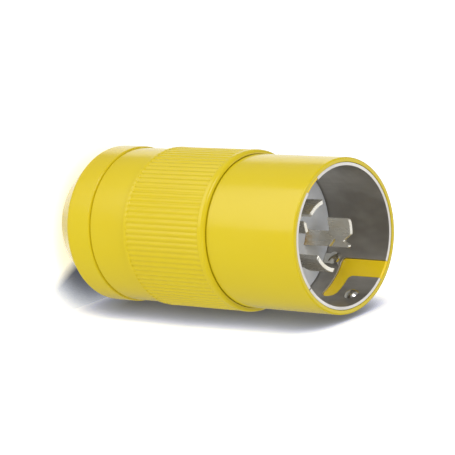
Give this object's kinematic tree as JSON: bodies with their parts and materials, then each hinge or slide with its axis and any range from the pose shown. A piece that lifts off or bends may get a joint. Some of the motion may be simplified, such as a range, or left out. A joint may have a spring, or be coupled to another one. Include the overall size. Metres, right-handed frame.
{
  "type": "locking power plug",
  "caption": "Yellow round locking power plug with a steel shroud with L-shaped locking slots, hooked blades, a ribbed grip and a cone-shaped rear cap with a cord hole.",
  "frame": {"origin": "centre of the flat rear face, round the cord hole", "axes": "+Z along the plug's axis, from the cord hole to the blades; the plug stands on its rear face"},
  "size_m": [0.0678, 0.0678, 0.1406],
  "materials": {
    "yellow_nylon": "glossy moulded nylon, safety yellow",
    "shroud_steel": "satin rolled stainless sheet",
    "plated_blade": "nickel plated, lightly brushed",
    "plated_steel": "bright plated",
    "face_insulator": "matt moulded, pale blue-grey",
    "block_insulator": "matt moulded, dark",
    "jaw_nylon": "matt glass-filled nylon",
    "lug_brass": "machined",
    "black_rubber": "moulded rubber"
  },
  "bodies": {
    "root": {"front_sleeve": "yellow_nylon", "steel_shroud": "shroud_steel", "shroud_rivets": "plated_steel", "shroud_screw": "plated_steel", "insulator_face": "face_insulator", "terminal_block": "block_insulator", "blade_x": "plated_blade", "blade_y": "plated_blade", "blade_neutral": "plated_blade", "centre_screw": "plated_steel", "ground_strap": "plated_steel", "terminal_lugs": "lug_brass", "terminal_screws": "plated_steel", "assembly_screws": "plated_steel", "body_housing": "yellow_nylon", "body_gasket": "black_rubber", "rear_cap": "yellow_nylon", "cap_gasket": "black_rubber", "thrust_washer": "plated_steel", "cord_seal": "black_rubber", "screw_side_jaw": "jaw_nylon", "nut_side_jaw": "jaw_nylon", "jaw_screws": "plated_steel", "jaw_nuts": "plated_steel"}
  },
  "joints": []
}
